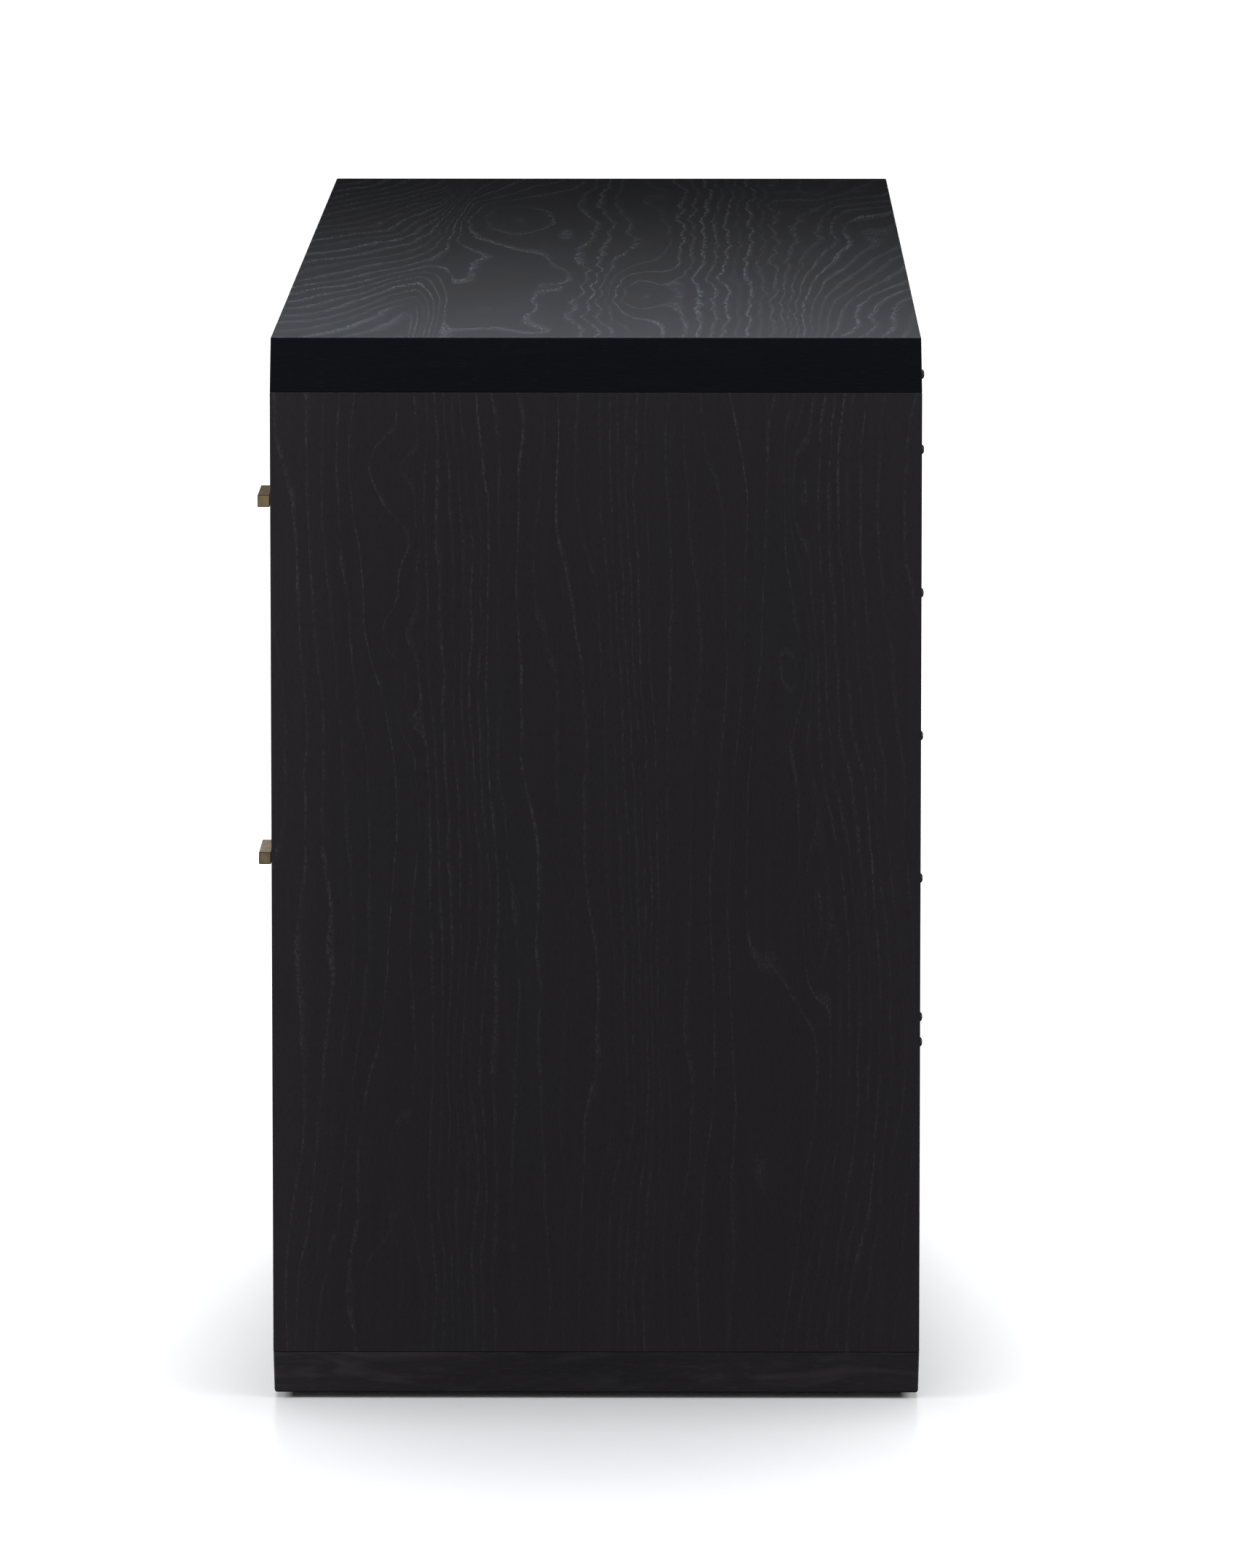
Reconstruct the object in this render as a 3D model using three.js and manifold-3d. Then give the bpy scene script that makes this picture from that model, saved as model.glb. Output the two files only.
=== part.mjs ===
// A low dresser: a flush box of six boards on four glides, with two columns of two drawers.
// Millimetres, +Z up. The front faces -Y, and the origin is on the floor under the middle of the
// whole object, pulls included. Left and right are as seen by someone facing the front.

import * as THREE from 'three';
import { mergeVertices } from 'three/addons/utils/BufferGeometryUtils.js';
import Module from 'manifold-3d';

const wasm = await Module();
wasm.setup();

// Case
const CASE_WIDTH = 1574;
const CASE_DEPTH = 483;
const TOP_THICKNESS = 41;
const SIDE_HEIGHT = 720.5;
const SIDE_THICKNESS = 25;
const BASE_THICKNESS = 31;
const DIVIDER_THICKNESS = 25;
const RAIL_HEIGHT = 20;
const RAIL_DEPTH = 70;
const SETBACK = 2; // from the drawer fronts' inner faces to the divider and rails behind them
const EASE = 1; // broken edges of the show boards

// Back panel, let into a rabbet all round
const BACK_THICKNESS = 6;
const BACK_RECESS = 0.25;
const BACK_PLAY = 0.5;
const SIDE_RABBET = 12.5;
const TOP_RABBET = 24;
const BASE_RABBET = 16;

// Glides
const GLIDE_HEIGHT = 4;
const GLIDE_RADIUS = 15;
const GLIDE_INSET = 40;

// Drawer fronts
const FRONT_THICKNESS = 20;
const REVEAL = 3;
const UPPER_FRONT_HEIGHT = 232;

// Drawer boxes
const BOX_DEPTH = 420;
const BOX_BOARD = 12;
const UPPER_BOX_HEIGHT = 180;
const LOWER_BOX_HEIGHT = 400;
const UPPER_BOX_LIFT = 9; // above the rail
const LOWER_BOX_LIFT = 13; // above the base
const BOTTOM_THICKNESS = 6;
const BOTTOM_RAISE = 12;
const GROOVE_DEPTH = 6;
const GROOVE_PLAY = 0.25;
const BOX_EASE = 0.5;

// Pulls: a short square bar on one round post
const BAR_SIZE = 9.5;
const BAR_LENGTH = 75;
const POST_LENGTH = 14;
const POST_RADIUS = 4;
const BAR_EASE = 0.5;
const LOWER_PULL_SHARE = 1 / 3; // how far down its front the lower pull sits
const UPPER_PULL_SHARE = 1 / 2;

// Ball-bearing side slides: a channel on the case and a smaller one, facing it, on the drawer
const SLIDE_SPACE = 12.75;
const SLIDE_LENGTH = 400;
const SLIDE_GAUGE = 1.5;
const CHANNEL_HEIGHT = 45;
const CHANNEL_FLANGE = 10;
const RUNNER_HEIGHT = 34;
const SLIDE_SHARE = 0.4; // how far up the box the slide sits
const SLIDE_SETBACK = 4;

const PULL_PROJECTION = BAR_SIZE + POST_LENGTH;
const FRONT_Y = (PULL_PROJECTION - CASE_DEPTH) / 2;
const REAR_Y = FRONT_Y + CASE_DEPTH;
const INNER_Y = FRONT_Y + FRONT_THICKNESS;
const BACK_INNER_Y = REAR_Y - BACK_RECESS - BACK_THICKNESS;
const HALF_WIDTH = CASE_WIDTH / 2;
const INNER_X = HALF_WIDTH - SIDE_THICKNESS;
const FLOOR_Z = GLIDE_HEIGHT + BASE_THICKNESS; // top of the base, floor of the drawer bays
const CEILING_Z = FLOOR_Z + SIDE_HEIGHT;
const TOP_Z = CEILING_Z + TOP_THICKNESS;
const UPPER_FRONT_BOTTOM = CEILING_Z - REVEAL - UPPER_FRONT_HEIGHT;
const LOWER_FRONT_TOP = UPPER_FRONT_BOTTOM - REVEAL;
const RAIL_TOP = (UPPER_FRONT_BOTTOM + LOWER_FRONT_TOP + RAIL_HEIGHT) / 2;

const dresser = new THREE.Group();

// Finishes: a new material for each piece
const blackOak = () => new THREE.MeshStandardMaterial({ color: 0x242224, roughness: 0.6 });
const blackEdge = () => new THREE.MeshStandardMaterial({ color: 0x121418, roughness: 0.55 });
const backBoard = () => new THREE.MeshStandardMaterial({ color: 0x2b2a2a, roughness: 0.8 });
const drawerWood = () => new THREE.MeshStandardMaterial({ color: 0xb89468, roughness: 0.6 });
const agedBrass = () => new THREE.MeshStandardMaterial({ color: 0x7a694b, roughness: 0.4, metalness: 1 });
const zincSteel = () => new THREE.MeshStandardMaterial({ color: 0xa9adb0, roughness: 0.35, metalness: 1 });
const blackNylon = () => new THREE.MeshStandardMaterial({ color: 0x161616, roughness: 0.7 });

/** Adds a named mesh whose own origin is at the given place. */
function place(name, geometry, material, [x, y, z]) {
  const mesh = new THREE.Mesh(geometry, material);
  mesh.name = name;
  mesh.position.set(x, y, z);
  dresser.add(mesh);
}

/** A rectangular block centred on the origin, with a flat chamfer along all twelve edges. */
function easedBlock(width, depth, height, ease) {
  const x = width / 2;
  const y = depth / 2;
  const outline = new THREE.Shape([
    new THREE.Vector2(-x + ease, -y),
    new THREE.Vector2(x - ease, -y),
    new THREE.Vector2(x, -y + ease),
    new THREE.Vector2(x, y - ease),
    new THREE.Vector2(x - ease, y),
    new THREE.Vector2(-x + ease, y),
    new THREE.Vector2(-x, y - ease),
    new THREE.Vector2(-x, -y + ease),
  ]);
  const block = new THREE.ExtrudeGeometry(outline, {
    depth: height - 2 * ease,
    bevelThickness: ease,
    bevelSize: ease,
    bevelOffset: -ease,
    bevelSegments: 1,
  });
  return block.translate(0, 0, ease - height / 2);
}

/** A three.js geometry as a manifold solid. */
function solidOf(geometry) {
  const bare = geometry.clone();
  bare.deleteAttribute('normal');
  bare.deleteAttribute('uv');
  const merged = mergeVertices(bare);
  return new wasm.Manifold(new wasm.Mesh({
    numProp: 3,
    vertProperties: Float32Array.from(merged.attributes.position.array),
    triVerts: Uint32Array.from(merged.index.array),
  }));
}

/** A manifold solid as a flat-shaded three.js geometry. */
function geometryOf(solid) {
  const mesh = solid.getMesh();
  const geometry = new THREE.BufferGeometry();
  geometry.setAttribute('position', new THREE.BufferAttribute(mesh.vertProperties, 3));
  geometry.setIndex(new THREE.BufferAttribute(mesh.triVerts, 1));
  const flat = geometry.toNonIndexed();
  flat.computeVertexNormals();
  return flat;
}

/**
 * A board from its low corner to its high corner, less any cuts. Each cut is a pair of corners in
 * the dresser's own frame and may run past the board's faces.
 */
function board(name, material, low, high, ease, cuts = []) {
  const size = low.map((value, axis) => high[axis] - value);
  const centre = low.map((value, axis) => (value + high[axis]) / 2);
  let geometry = easedBlock(...size, ease);
  if (cuts.length > 0) {
    let solid = solidOf(geometry);
    for (const [cutLow, cutHigh] of cuts) {
      const span = cutLow.map((value, axis) => cutHigh[axis] - value);
      const middle = cutLow.map((value, axis) => (value + cutHigh[axis]) / 2 - centre[axis]);
      solid = solid.subtract(solidOf(new THREE.BoxGeometry(...span).translate(...middle)));
    }
    geometry = geometryOf(solid);
  }
  place(name, geometry, material, centre);
}

/** The six outer boards, the divider, the rails behind the drawer fronts and the back panel. */
function addCase() {
  const past = 5;
  const rabbetX = INNER_X + SIDE_RABBET;
  const backTop = CEILING_Z + TOP_RABBET;
  const backBottom = FLOOR_Z - BASE_RABBET;
  board('top_slab', blackEdge(), [-HALF_WIDTH, FRONT_Y, CEILING_Z], [HALF_WIDTH, REAR_Y, TOP_Z], EASE, [
    [[-rabbetX, BACK_INNER_Y, CEILING_Z - past], [rabbetX, REAR_Y + past, backTop]],
  ]);
  board('base_slab', blackEdge(), [-HALF_WIDTH, FRONT_Y, GLIDE_HEIGHT], [HALF_WIDTH, REAR_Y, FLOOR_Z], EASE, [
    [[-rabbetX, BACK_INNER_Y, backBottom], [rabbetX, REAR_Y + past, FLOOR_Z + past]],
  ]);
  board('right_side_panel', blackOak(), [INNER_X, FRONT_Y, FLOOR_Z], [HALF_WIDTH, REAR_Y, CEILING_Z], EASE, [
    [[INNER_X - past, BACK_INNER_Y, FLOOR_Z - past], [rabbetX, REAR_Y + past, CEILING_Z + past]],
  ]);
  board('left_side_panel', blackOak(), [-HALF_WIDTH, FRONT_Y, FLOOR_Z], [-INNER_X, REAR_Y, CEILING_Z], EASE, [
    [[-rabbetX, BACK_INNER_Y, FLOOR_Z - past], [-INNER_X + past, REAR_Y + past, CEILING_Z + past]],
  ]);

  const halfDivider = DIVIDER_THICKNESS / 2;
  const stepY = INNER_Y + SETBACK;
  board('centre_divider', blackOak(),
    [-halfDivider, stepY, FLOOR_Z], [halfDivider, BACK_INNER_Y, CEILING_Z], BOX_EASE);
  board('left_rail', blackOak(),
    [-INNER_X, stepY, RAIL_TOP - RAIL_HEIGHT], [-halfDivider, stepY + RAIL_DEPTH, RAIL_TOP], BOX_EASE);
  board('right_rail', blackOak(),
    [halfDivider, stepY, RAIL_TOP - RAIL_HEIGHT], [INNER_X, stepY + RAIL_DEPTH, RAIL_TOP], BOX_EASE);
  board('back_panel', backBoard(),
    [-rabbetX + BACK_PLAY, BACK_INNER_Y, backBottom + BACK_PLAY],
    [rabbetX - BACK_PLAY, BACK_INNER_Y + BACK_THICKNESS, backTop - BACK_PLAY], BOX_EASE);
}

/** Four low round glides under the base, near its corners. */
function addGlides() {
  const profile = [
    new THREE.Vector2(0, 0),
    new THREE.Vector2(GLIDE_RADIUS - 1, 0),
    new THREE.Vector2(GLIDE_RADIUS, 1),
    new THREE.Vector2(GLIDE_RADIUS, GLIDE_HEIGHT),
    new THREE.Vector2(0, GLIDE_HEIGHT),
  ];
  for (const [end, row] of [['left', 'front'], ['right', 'front'], ['left', 'rear'], ['right', 'rear']]) {
    const glide = new THREE.LatheGeometry(profile, 32).rotateX(Math.PI / 2);
    const x = (end === 'left' ? -1 : 1) * (HALF_WIDTH - GLIDE_INSET);
    const y = row === 'front' ? FRONT_Y + GLIDE_INSET : REAR_Y - GLIDE_INSET;
    place(`${row}_${end}_glide`, glide, blackNylon(), [x, y, 0]);
  }
}

/** A pressed channel along Y: its web on the plane x = 0, its flanges reaching towards +X. */
function channel(height, flange) {
  const z = height / 2;
  const section = new THREE.Shape([
    new THREE.Vector2(0, -z),
    new THREE.Vector2(flange, -z),
    new THREE.Vector2(flange, -z + SLIDE_GAUGE),
    new THREE.Vector2(SLIDE_GAUGE, -z + SLIDE_GAUGE),
    new THREE.Vector2(SLIDE_GAUGE, z - SLIDE_GAUGE),
    new THREE.Vector2(flange, z - SLIDE_GAUGE),
    new THREE.Vector2(flange, z),
    new THREE.Vector2(0, z),
  ]);
  const bar = new THREE.ExtrudeGeometry(section, { depth: SLIDE_LENGTH, bevelEnabled: false });
  return bar.translate(0, 0, -SLIDE_LENGTH / 2).rotateX(Math.PI / 2);
}

/** One slide: the case channel on the bay's wall and the runner on the drawer's side. */
function addSlide(drawer, end, wallX, z) {
  const inward = end === 'left' ? 1 : -1;
  const y = INNER_Y + SLIDE_SETBACK + SLIDE_LENGTH / 2;
  const caseChannel = channel(CHANNEL_HEIGHT, CHANNEL_FLANGE);
  const runner = channel(RUNNER_HEIGHT, CHANNEL_FLANGE);
  if (end === 'left') {
    runner.rotateZ(Math.PI);
  } else {
    caseChannel.rotateZ(Math.PI);
  }
  place(`${drawer}_channel_${end}`, caseChannel, zincSteel(), [wallX, y, z]);
  place(`${drawer}_runner_${end}`, runner, zincSteel(), [wallX + inward * SLIDE_SPACE, y, z]);
}

/** The square bar and the post that carries it off the drawer front. */
function addPull(drawer, x, z) {
  const barY = FRONT_Y - POST_LENGTH - BAR_SIZE / 2;
  const bar = easedBlock(BAR_LENGTH, BAR_SIZE, BAR_SIZE, BAR_EASE);
  const post = new THREE.CylinderGeometry(POST_RADIUS, POST_RADIUS, POST_LENGTH, 24);
  place(`${drawer}_pull_bar`, bar, agedBrass(), [x, barY, z]);
  place(`${drawer}_pull_post`, post, agedBrass(), [x, FRONT_Y - POST_LENGTH / 2, z]);
}

/** The open box behind a drawer front, its plywood bottom held in grooves and under the back. */
function addBox(drawer, lowX, highX, lowZ, height) {
  const rearY = INNER_Y + BOX_DEPTH;
  const highZ = lowZ + height;
  const inLow = lowX + BOX_BOARD;
  const inHigh = highX - BOX_BOARD;
  const bottomZ = lowZ + BOTTOM_RAISE;
  const bottomTop = bottomZ + BOTTOM_THICKNESS;
  const grooveY = INNER_Y + BOX_BOARD - GROOVE_DEPTH;
  const past = 5;
  const groove = [
    [inLow - GROOVE_DEPTH, grooveY, bottomZ],
    [inHigh + GROOVE_DEPTH, rearY + past, bottomTop + GROOVE_PLAY],
  ];
  board(`${drawer}_box_left`, drawerWood(), [lowX, INNER_Y, lowZ], [inLow, rearY, highZ], BOX_EASE, [groove]);
  board(`${drawer}_box_right`, drawerWood(), [inHigh, INNER_Y, lowZ], [highX, rearY, highZ], BOX_EASE, [groove]);
  board(`${drawer}_box_front`, drawerWood(),
    [inLow, INNER_Y, lowZ], [inHigh, INNER_Y + BOX_BOARD, highZ], BOX_EASE, [groove]);
  board(`${drawer}_box_back`, drawerWood(),
    [inLow, rearY - BOX_BOARD, bottomTop + GROOVE_PLAY], [inHigh, rearY, highZ], BOX_EASE);
  board(`${drawer}_box_bottom`, drawerWood(),
    [inLow - GROOVE_DEPTH + GROOVE_PLAY, grooveY + GROOVE_PLAY, bottomZ],
    [inHigh + GROOVE_DEPTH - GROOVE_PLAY, rearY - GROOVE_PLAY, bottomTop], BOX_EASE / 2);
}

/** Rounds to a quarter of a millimetre. */
const toQuarter = (value) => Math.round(value * 4) / 4;

/** One drawer in its bay, with its applied front, box, pull and pair of slides. */
function addDrawer(row, column) {
  const drawer = `${row.name}_${column.name}`;
  const slideZ = row.boxZ + SLIDE_SHARE * row.boxHeight;
  const pullZ = toQuarter(row.frontHigh - row.pullShare * (row.frontHigh - row.frontLow));
  board(`${drawer}_front`, blackOak(),
    [column.frontLow, FRONT_Y, row.frontLow], [column.frontHigh, INNER_Y, row.frontHigh], EASE);
  addBox(drawer, column.bayLow + SLIDE_SPACE, column.bayHigh - SLIDE_SPACE, row.boxZ, row.boxHeight);
  addPull(drawer, (column.frontLow + column.frontHigh) / 2, pullZ);
  addSlide(drawer, 'left', column.bayLow, slideZ);
  addSlide(drawer, 'right', column.bayHigh, slideZ);
}

const rows = [
  {
    name: 'upper',
    frontLow: UPPER_FRONT_BOTTOM,
    frontHigh: CEILING_Z - REVEAL,
    boxZ: RAIL_TOP + UPPER_BOX_LIFT,
    boxHeight: UPPER_BOX_HEIGHT,
    pullShare: UPPER_PULL_SHARE,
  },
  {
    name: 'lower',
    frontLow: FLOOR_Z + REVEAL,
    frontHigh: LOWER_FRONT_TOP,
    boxZ: FLOOR_Z + LOWER_BOX_LIFT,
    boxHeight: LOWER_BOX_HEIGHT,
    pullShare: LOWER_PULL_SHARE,
  },
];
const columns = [
  {
    name: 'left',
    frontLow: -INNER_X + REVEAL,
    frontHigh: -REVEAL / 2,
    bayLow: -INNER_X,
    bayHigh: -DIVIDER_THICKNESS / 2,
  },
  {
    name: 'right',
    frontLow: REVEAL / 2,
    frontHigh: INNER_X - REVEAL,
    bayLow: DIVIDER_THICKNESS / 2,
    bayHigh: INNER_X,
  },
];

addCase();
addGlides();
for (const row of rows) {
  for (const column of columns) {
    addDrawer(row, column);
  }
}

export default dresser;
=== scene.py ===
"""A low black-oak dresser with two columns of two drawers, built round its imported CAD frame."""

import math
import random

import bmesh
import bpy
from mathutils import Matrix, Vector


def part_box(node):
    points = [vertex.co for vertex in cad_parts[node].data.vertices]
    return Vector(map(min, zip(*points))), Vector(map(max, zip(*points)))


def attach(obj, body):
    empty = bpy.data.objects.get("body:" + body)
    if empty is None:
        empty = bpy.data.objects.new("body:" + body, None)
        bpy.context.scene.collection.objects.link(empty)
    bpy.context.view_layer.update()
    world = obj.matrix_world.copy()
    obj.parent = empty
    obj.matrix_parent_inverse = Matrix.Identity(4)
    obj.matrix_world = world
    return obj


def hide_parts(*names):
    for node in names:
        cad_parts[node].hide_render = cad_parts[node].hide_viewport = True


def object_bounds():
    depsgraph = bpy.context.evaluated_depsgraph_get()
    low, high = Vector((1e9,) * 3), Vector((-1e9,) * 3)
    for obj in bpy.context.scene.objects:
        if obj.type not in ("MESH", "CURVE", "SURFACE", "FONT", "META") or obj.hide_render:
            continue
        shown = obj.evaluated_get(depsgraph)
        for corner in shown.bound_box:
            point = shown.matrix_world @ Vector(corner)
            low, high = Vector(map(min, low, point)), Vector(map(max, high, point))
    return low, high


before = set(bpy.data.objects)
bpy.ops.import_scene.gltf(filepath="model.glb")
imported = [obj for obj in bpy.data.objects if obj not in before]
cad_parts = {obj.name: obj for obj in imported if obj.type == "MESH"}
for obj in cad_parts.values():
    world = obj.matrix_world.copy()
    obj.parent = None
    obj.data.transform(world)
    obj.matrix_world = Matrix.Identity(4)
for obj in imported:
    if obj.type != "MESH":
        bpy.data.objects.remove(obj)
cad_low, cad_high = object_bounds()

scene = bpy.context.scene
MM = 0.001
ROWS = ("upper", "lower")
ENDS = ("left", "right")
DRAWERS = [f"{row}_{column}" for row in ROWS for column in ENDS]


# ---- node graphs

class Graph:
    """A short way to write a shader graph: each call adds one node and returns its output."""

    def __init__(self, tree):
        self.tree = tree
        self.shader = None
        self.tree.nodes.clear()

    def add(self, kind, inputs=None, **settings):
        node = self.tree.nodes.new(kind)
        for key, value in settings.items():
            setattr(node, key, value)
        for key, value in (inputs or {}).items():
            if isinstance(value, bpy.types.NodeSocket):
                self.tree.links.new(value, node.inputs[key])
            else:
                node.inputs[key].default_value = value
        return node

    def math(self, operation, a, b=0.0, clamp=False):
        node = self.add("ShaderNodeMath", {0: a, 1: b}, operation=operation, use_clamp=clamp)
        return node.outputs[0]

    def plus(self, a, b):
        return self.math("ADD", a, b)

    def minus(self, a, b):
        return self.math("SUBTRACT", a, b)

    def times(self, a, b):
        return self.math("MULTIPLY", a, b)

    def blend(self, factor, a, b):
        """Mixes two numbers."""
        return self.add("ShaderNodeMix", {0: factor, 2: a, 3: b}, data_type="FLOAT").outputs[0]

    def tint(self, factor, a, b):
        """Mixes two colours."""
        return self.add("ShaderNodeMix", {0: factor, 6: a, 7: b}, data_type="RGBA").outputs[2]

    def scaled(self, colour, amount):
        """The colour times a number."""
        return self.add("ShaderNodeVectorMath", {0: colour, 3: amount}, operation="SCALE").outputs[0]

    def span(self, value, low, high, to_low=0.0, to_high=1.0, smooth=False):
        """Maps low..high onto to_low..to_high, clamped."""
        inputs = {"Value": value, "From Min": low, "From Max": high, "To Min": to_low, "To Max": to_high}
        kind = "SMOOTHSTEP" if smooth else "LINEAR"
        return self.add("ShaderNodeMapRange", inputs, interpolation_type=kind).outputs[0]

    def noise(self, vector, scale=1.0, detail=2.0, roughness=0.5, distortion=0.0):
        inputs = {"Vector": vector, "Scale": scale, "Detail": detail, "Roughness": roughness}
        inputs["Distortion"] = distortion
        return self.add("ShaderNodeTexNoise", inputs).outputs[0]

    def cells(self, vector, scale):
        return self.add("ShaderNodeTexVoronoi", {"Vector": vector, "Scale": scale}).outputs["Distance"]

    def curve(self, value, points):
        """Reads value off the straight lines between (place, height) points."""
        first, last = points[0][0], points[-1][0]
        heights = [height for place, height in points]
        low, high = min(heights), max(heights)
        spread = (high - low) or 1.0
        share = self.span(value, first, last)
        node = self.add("ShaderNodeFloatCurve", {"Value": share})
        line = node.mapping.curves[0].points
        for i, (place, height) in enumerate(points):
            spot = ((place - first) / (last - first), (height - low) / spread)
            if 0 < i < len(points) - 1:
                line.new(*spot)
            else:
                line[0 if i == 0 else -1].location = spot
        for point in line:
            point.handle_type = "VECTOR"
        node.mapping.update()
        return self.plus(self.times(node.outputs[0], spread), low)

    def chance(self, value):
        """One random number from 0 to 1 for each value."""
        return self.add("ShaderNodeTexWhiteNoise", {"W": value}, noise_dimensions="1D").outputs["Value"]

    def vector(self, x, y, z):
        return self.add("ShaderNodeCombineXYZ", {0: x, 1: y, 2: z}).outputs[0]

    def grained(self, across, along, across_rate, along_rate, layer=0.0, **settings):
        """Noise with its own rate across and along the grain. Each layer is its own noise."""
        field = self.vector(self.times(across, across_rate), self.times(along, along_rate), layer)
        return self.noise(field, **settings)

    def surface(self, **values):
        """Links or sets the shader's inputs, which are named with _ for a space."""
        for key, value in values.items():
            socket = self.shader.inputs[key.replace("_", " ")]
            if isinstance(value, bpy.types.NodeSocket):
                self.tree.links.new(value, socket)
            else:
                socket.default_value = value

    def place(self):
        """The three coordinates of the point in the dresser's own frame, in metres."""
        spot = self.add("ShaderNodeTexCoord").outputs["Object"]
        split = self.add("ShaderNodeSeparateXYZ", {0: spot})
        return split.outputs[0], split.outputs[1], split.outputs[2]


def material(name, paint):
    """A material drawn by paint(graph), which may return a bump's height and its depth in metres."""
    made = bpy.data.materials.new(name)
    made.use_nodes = True
    graph = Graph(made.node_tree)
    graph.shader = graph.add("ShaderNodeBsdfPrincipled")
    relief = paint(graph)
    if relief:
        value, distance = relief
        bump = graph.add("ShaderNodeBump", {"Height": value, "Distance": distance, "Strength": 1.0})
        graph.surface(Normal=bump.outputs[0])
    end = graph.add("ShaderNodeOutputMaterial")
    made.node_tree.links.new(graph.shader.outputs[0], end.inputs[0])
    return made


# ---- materials

def axes_of(graph, grain):
    """(across, along) coordinates for a face whose grain runs along grain; "top" lies flat."""
    x, y, z = graph.place()
    if grain == "z":
        return graph.plus(y, graph.times(x, 0.004)), z
    if grain == "top":
        return y, x
    if grain == "x":
        return graph.plus(y, z), x
    return graph.plus(x, z), y


def ring_table(density):
    """(place, ring number) pairs from (place, rings per metre) pairs."""
    table = [(density[0][0], 0.0)]
    for (start, first), (stop, last) in zip(density, density[1:]):
        table.append((stop, table[-1][1] + (stop - start) * (first + last) / 2))
    return table


def ring_lines(graph, across, along, figure):
    """
    The pale, dashed lines where growth rings meet the surface, 0 to 1. Each line is a whole number
    of a ring count that rises across the board at the figure's density. Where the rings are far
    apart the swirl turns them into points and hooks, and each island adds a hill of its own.
    """
    seed = figure["seed"]
    sway_rate = figure["sway_rate"]
    sway = graph.grained(across, along, 4.0, sway_rate, seed, detail=1.5)
    shiver = graph.grained(across, along, 26.0, 4.5 * sway_rate, seed, detail=2.0, roughness=0.65)
    moved = graph.plus(across, graph.times(graph.minus(sway, 0.5), figure["sway"]))
    moved = graph.plus(moved, graph.times(graph.minus(shiver, 0.5), figure["shiver"]))
    rings = graph.curve(moved, ring_table(figure["density"]))
    crowding = graph.curve(moved, figure["density"])
    swirl_rates = figure["swirl_across"], figure["swirl_along"]
    swirl = graph.grained(across, along, *swirl_rates, seed + 9.0, detail=1.0)
    rings = graph.plus(rings, graph.times(graph.minus(swirl, 0.5), figure["swirl"]))
    share = graph.times(graph.plus(crowding, 16.0), figure["width"])
    if "slant" in figure:
        slant = graph.curve(across, figure["slant"])
        rings = graph.plus(rings, graph.times(slant, along))
        share = graph.plus(share, graph.times(slant, figure["slant_width"]))
    calm = 1.0
    for centre_across, centre_along, wide, long, height in figure.get("islands", ()):
        u = graph.math("DIVIDE", graph.minus(moved, centre_across), wide)
        v = graph.math("DIVIDE", graph.minus(along, centre_along), long)
        far = graph.plus(graph.times(u, u), graph.times(v, v))
        hill = graph.times(graph.math("EXPONENT", graph.times(far, -1.0)), height)
        rings = graph.plus(rings, hill)
        share = graph.plus(share, graph.times(graph.math("ABSOLUTE", hill), figure["island_width"]))
        peak = graph.math("EXPONENT", graph.times(far, -7.0))
        calm = graph.times(calm, graph.minus(1.0, peak))
    part = graph.math("FRACT", rings)
    nearest = graph.math("FLOOR", graph.plus(rings, 0.5))
    soft_side = graph.math("SUBTRACT", 1.0, graph.math("DIVIDE", part, share), clamp=True)
    crisp = graph.math("DIVIDE", graph.minus(1.0, part), graph.times(share, 0.35))
    crisp_side = graph.math("SUBTRACT", 1.0, crisp, clamp=True)
    line = graph.times(graph.math("MAXIMUM", soft_side, crisp_side), calm)
    weight = graph.span(graph.chance(nearest), 0.0, 1.0, 0.3, 1.0)
    dashes = graph.grained(nearest, along, 3.7, figure["dash_rate"], seed, detail=2.0)
    dash = graph.span(dashes, 0.38, 0.56, figure["solid"], 1.0)
    grits = graph.grained(across, along, figure["grit_across"], figure["grit_along"], seed, detail=1.0)
    grit = graph.span(grits, 0.42, 0.60, 0.12, 1.0)
    fades = graph.grained(nearest, along, 1.3, 0.09 * figure["dash_rate"], seed + 2.0, detail=1.0)
    fade = graph.span(fades, 0.3, 0.6, figure["solid"], 1.0)
    return graph.times(graph.times(line, graph.times(weight, grit)), graph.times(dash, fade))


def pores(graph, across, along, fine=1.0):
    """Short open pores drawn out along the grain, 0 to 1."""
    pore = graph.grained(across, along, 1250.0 * fine, 135.0 * fine, detail=1.0)
    return graph.span(pore, 0.53, 0.68)


def shades(colour, *factors):
    """The colour times each factor, or times one factor for all, as RGBA."""
    factors = factors if len(factors) == 3 else factors * 3
    return (*(c * k for c, k in zip(colour, factors)), 1.0)


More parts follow.
